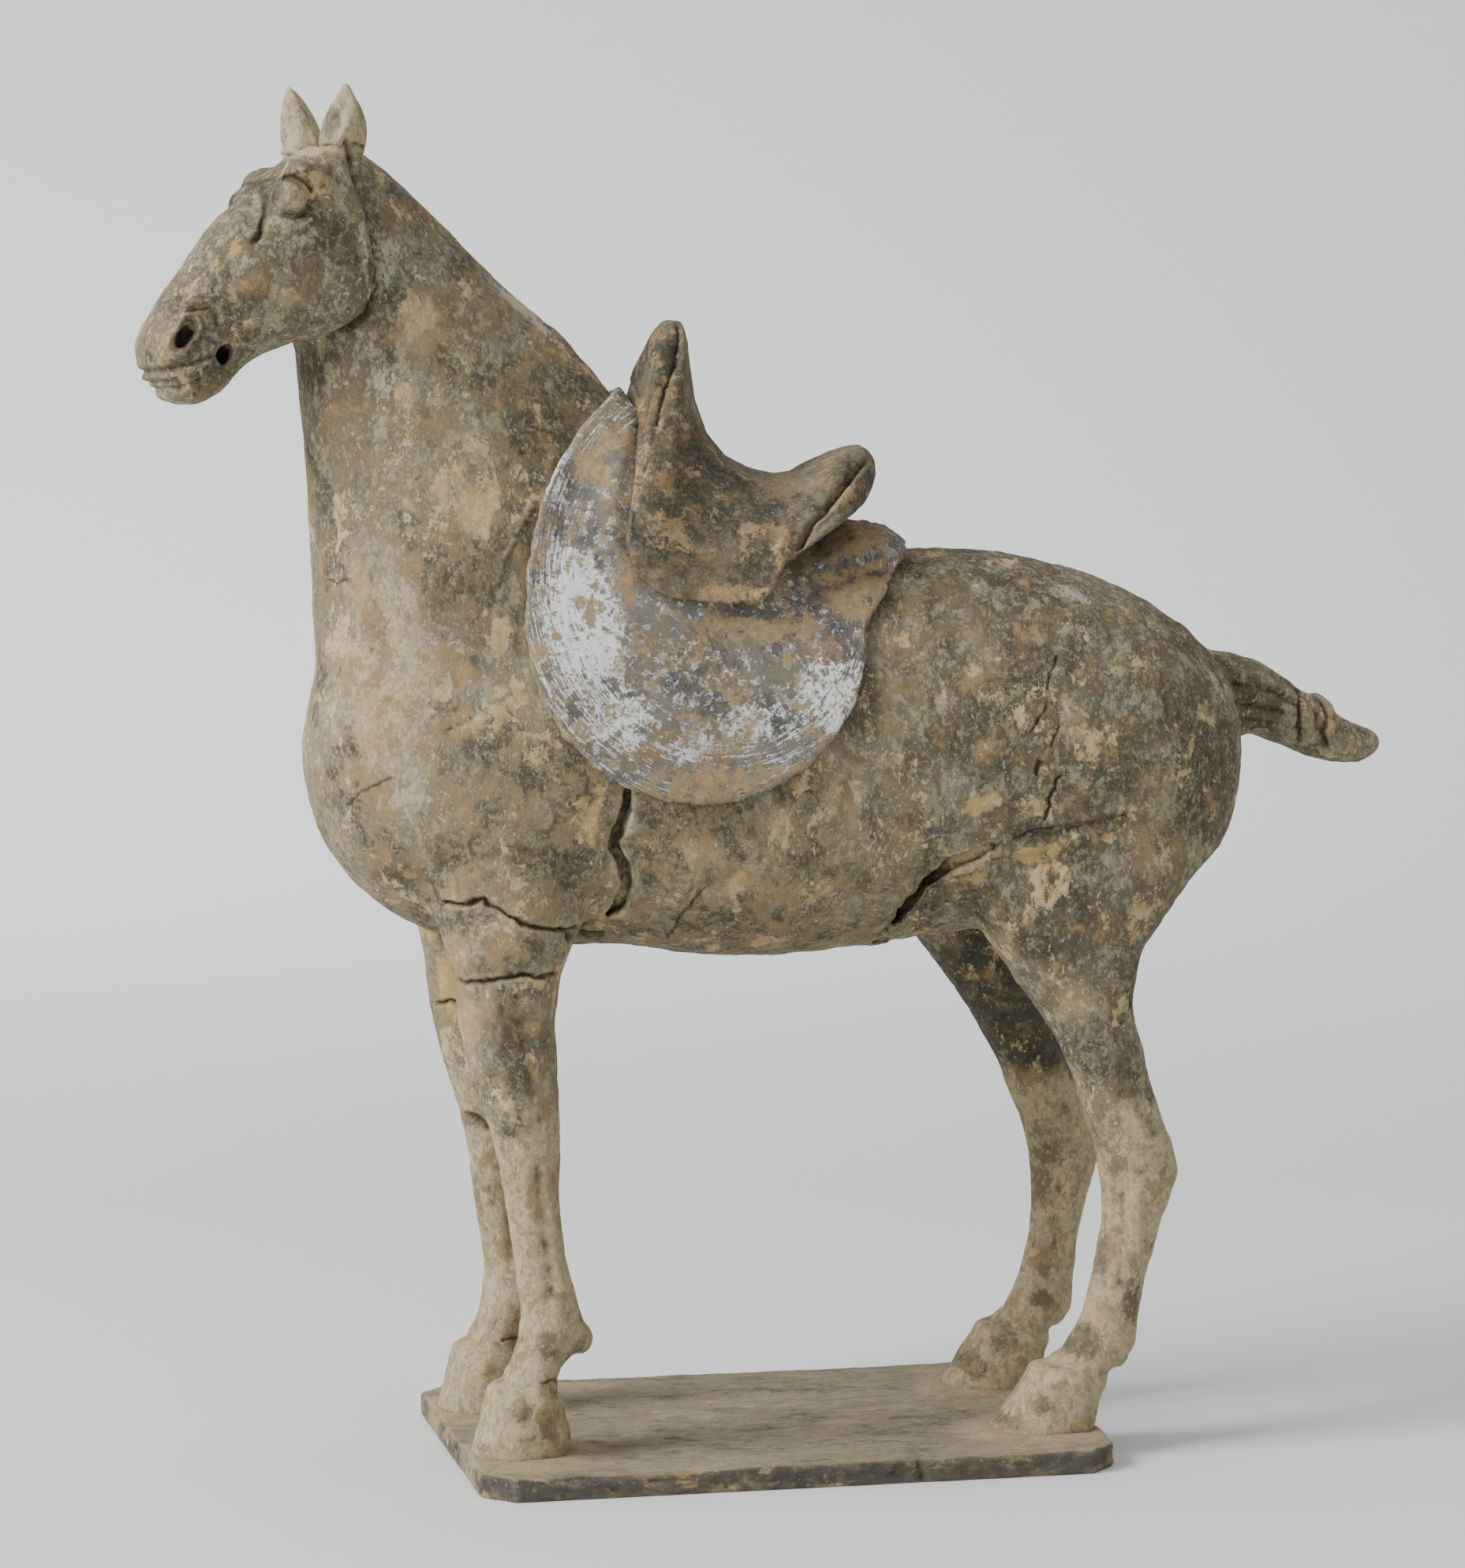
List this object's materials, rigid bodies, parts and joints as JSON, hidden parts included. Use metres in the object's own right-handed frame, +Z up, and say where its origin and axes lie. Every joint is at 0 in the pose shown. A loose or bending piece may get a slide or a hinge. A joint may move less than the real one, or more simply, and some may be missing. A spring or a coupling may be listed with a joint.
{
  "type": "earthenware tomb figure of a saddled horse",
  "caption": "Grey earthenware tomb horse standing on a thin slab, with a saddle over a round saddle cloth, a docked and knotted tail, worn pale slip and clinging earth.",
  "frame": {"origin": "centre of the slab's underside", "axes": "+Z up, the horse looks along -X and its left flank is on -Y"},
  "size_m": [0.5217, 0.184, 0.5503],
  "materials": {
    "slab_clay": "matt fired grey clay with sanded earth",
    "grey_clay": "matt fired grey clay with ochre earth and worn pale slip",
    "cloth_slip": "brushed chalky white slip over grey clay, half under tan earth",
    "saddle_clay": "dark rubbed clay with tan earth"
  },
  "bodies": {
    "root": {"base_plate": "slab_clay", "horse": "grey_clay", "saddle_cloth": "cloth_slip", "saddle": "saddle_clay"}
  },
  "joints": []
}
